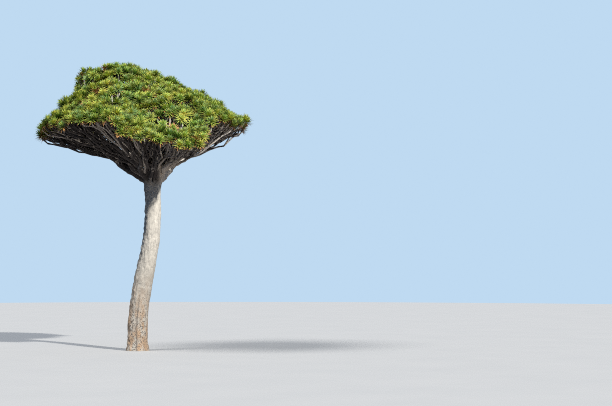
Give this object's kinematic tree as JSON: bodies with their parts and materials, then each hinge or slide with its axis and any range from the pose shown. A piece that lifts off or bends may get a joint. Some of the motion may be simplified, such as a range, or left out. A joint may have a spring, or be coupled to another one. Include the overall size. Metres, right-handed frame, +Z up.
{
  "type": "dragon blood tree",
  "caption": "Tall umbrella-crowned tree: a bare leaning trunk that fans into stout boughs under a dense, lopsided dome of sword-leaved rosettes.",
  "frame": {"origin": "middle of the flat cut at the foot of the trunk, at ground level", "axes": "+Z up along the tree's height, +X to the right and +Y away from the viewer as the picture sees it"},
  "size_m": [6.7875, 6.5076, 8.9389],
  "materials": {
    "trunk_bark": "rough pale grey bark with fine upright streaks and dark flecks",
    "limb_bark": "rough grey-brown bark, darker under the crown",
    "foliage": "waxy green sword leaves with yellow-green tips and dry brown skirts"
  },
  "bodies": {
    "root": {"trunk": "trunk_bark", "low_bough_1": "limb_bark", "low_bough_2": "limb_bark", "low_bough_3": "limb_bark", "low_bough_4": "limb_bark", "low_bough_5": "limb_bark", "low_bough_6": "limb_bark", "low_limb_1_a": "limb_bark", "low_limb_1_b": "limb_bark", "low_limb_2_a": "limb_bark", "low_limb_2_b": "limb_bark", "low_limb_3_a": "limb_bark", "low_limb_3_b": "limb_bark", "low_limb_4_a": "limb_bark", "low_limb_4_b": "limb_bark", "low_limb_5_a": "limb_bark", "low_limb_5_b": "limb_bark", "low_limb_6_a": "limb_bark", "low_limb_6_b": "limb_bark", "high_bough_1": "limb_bark", "high_bough_2": "limb_bark", "high_bough_3": "limb_bark", "high_bough_4": "limb_bark", "high_limb_1_a": "limb_bark", "high_limb_1_b": "limb_bark", "high_limb_1_c": "limb_bark", "high_limb_2_a": "limb_bark", "high_limb_2_b": "limb_bark", "high_limb_2_c": "limb_bark", "high_limb_3_a": "limb_bark", "high_limb_3_b": "limb_bark", "high_limb_3_c": "limb_bark", "high_limb_4_a": "limb_bark", "high_limb_4_b": "limb_bark", "high_limb_4_c": "limb_bark", "rim_foliage_1": "foliage", "rim_foliage_2": "foliage", "rim_foliage_3": "foliage", "rim_foliage_4": "foliage", "rim_foliage_5": "foliage", "rim_foliage_6": "foliage", "rim_foliage_7": "foliage", "rim_foliage_8": "foliage", "rim_foliage_9": "foliage", "rim_foliage_10": "foliage", "rim_foliage_11": "foliage", "rim_foliage_12": "foliage", "middle_foliage_1": "foliage", "middle_foliage_2": "foliage", "middle_foliage_3": "foliage", "middle_foliage_4": "foliage", "middle_foliage_5": "foliage", "middle_foliage_6": "foliage", "middle_foliage_7": "foliage", "middle_foliage_8": "foliage", "top_foliage_1": "foliage", "top_foliage_2": "foliage", "top_foliage_3": "foliage", "top_foliage_4": "foliage"}
  },
  "joints": []
}
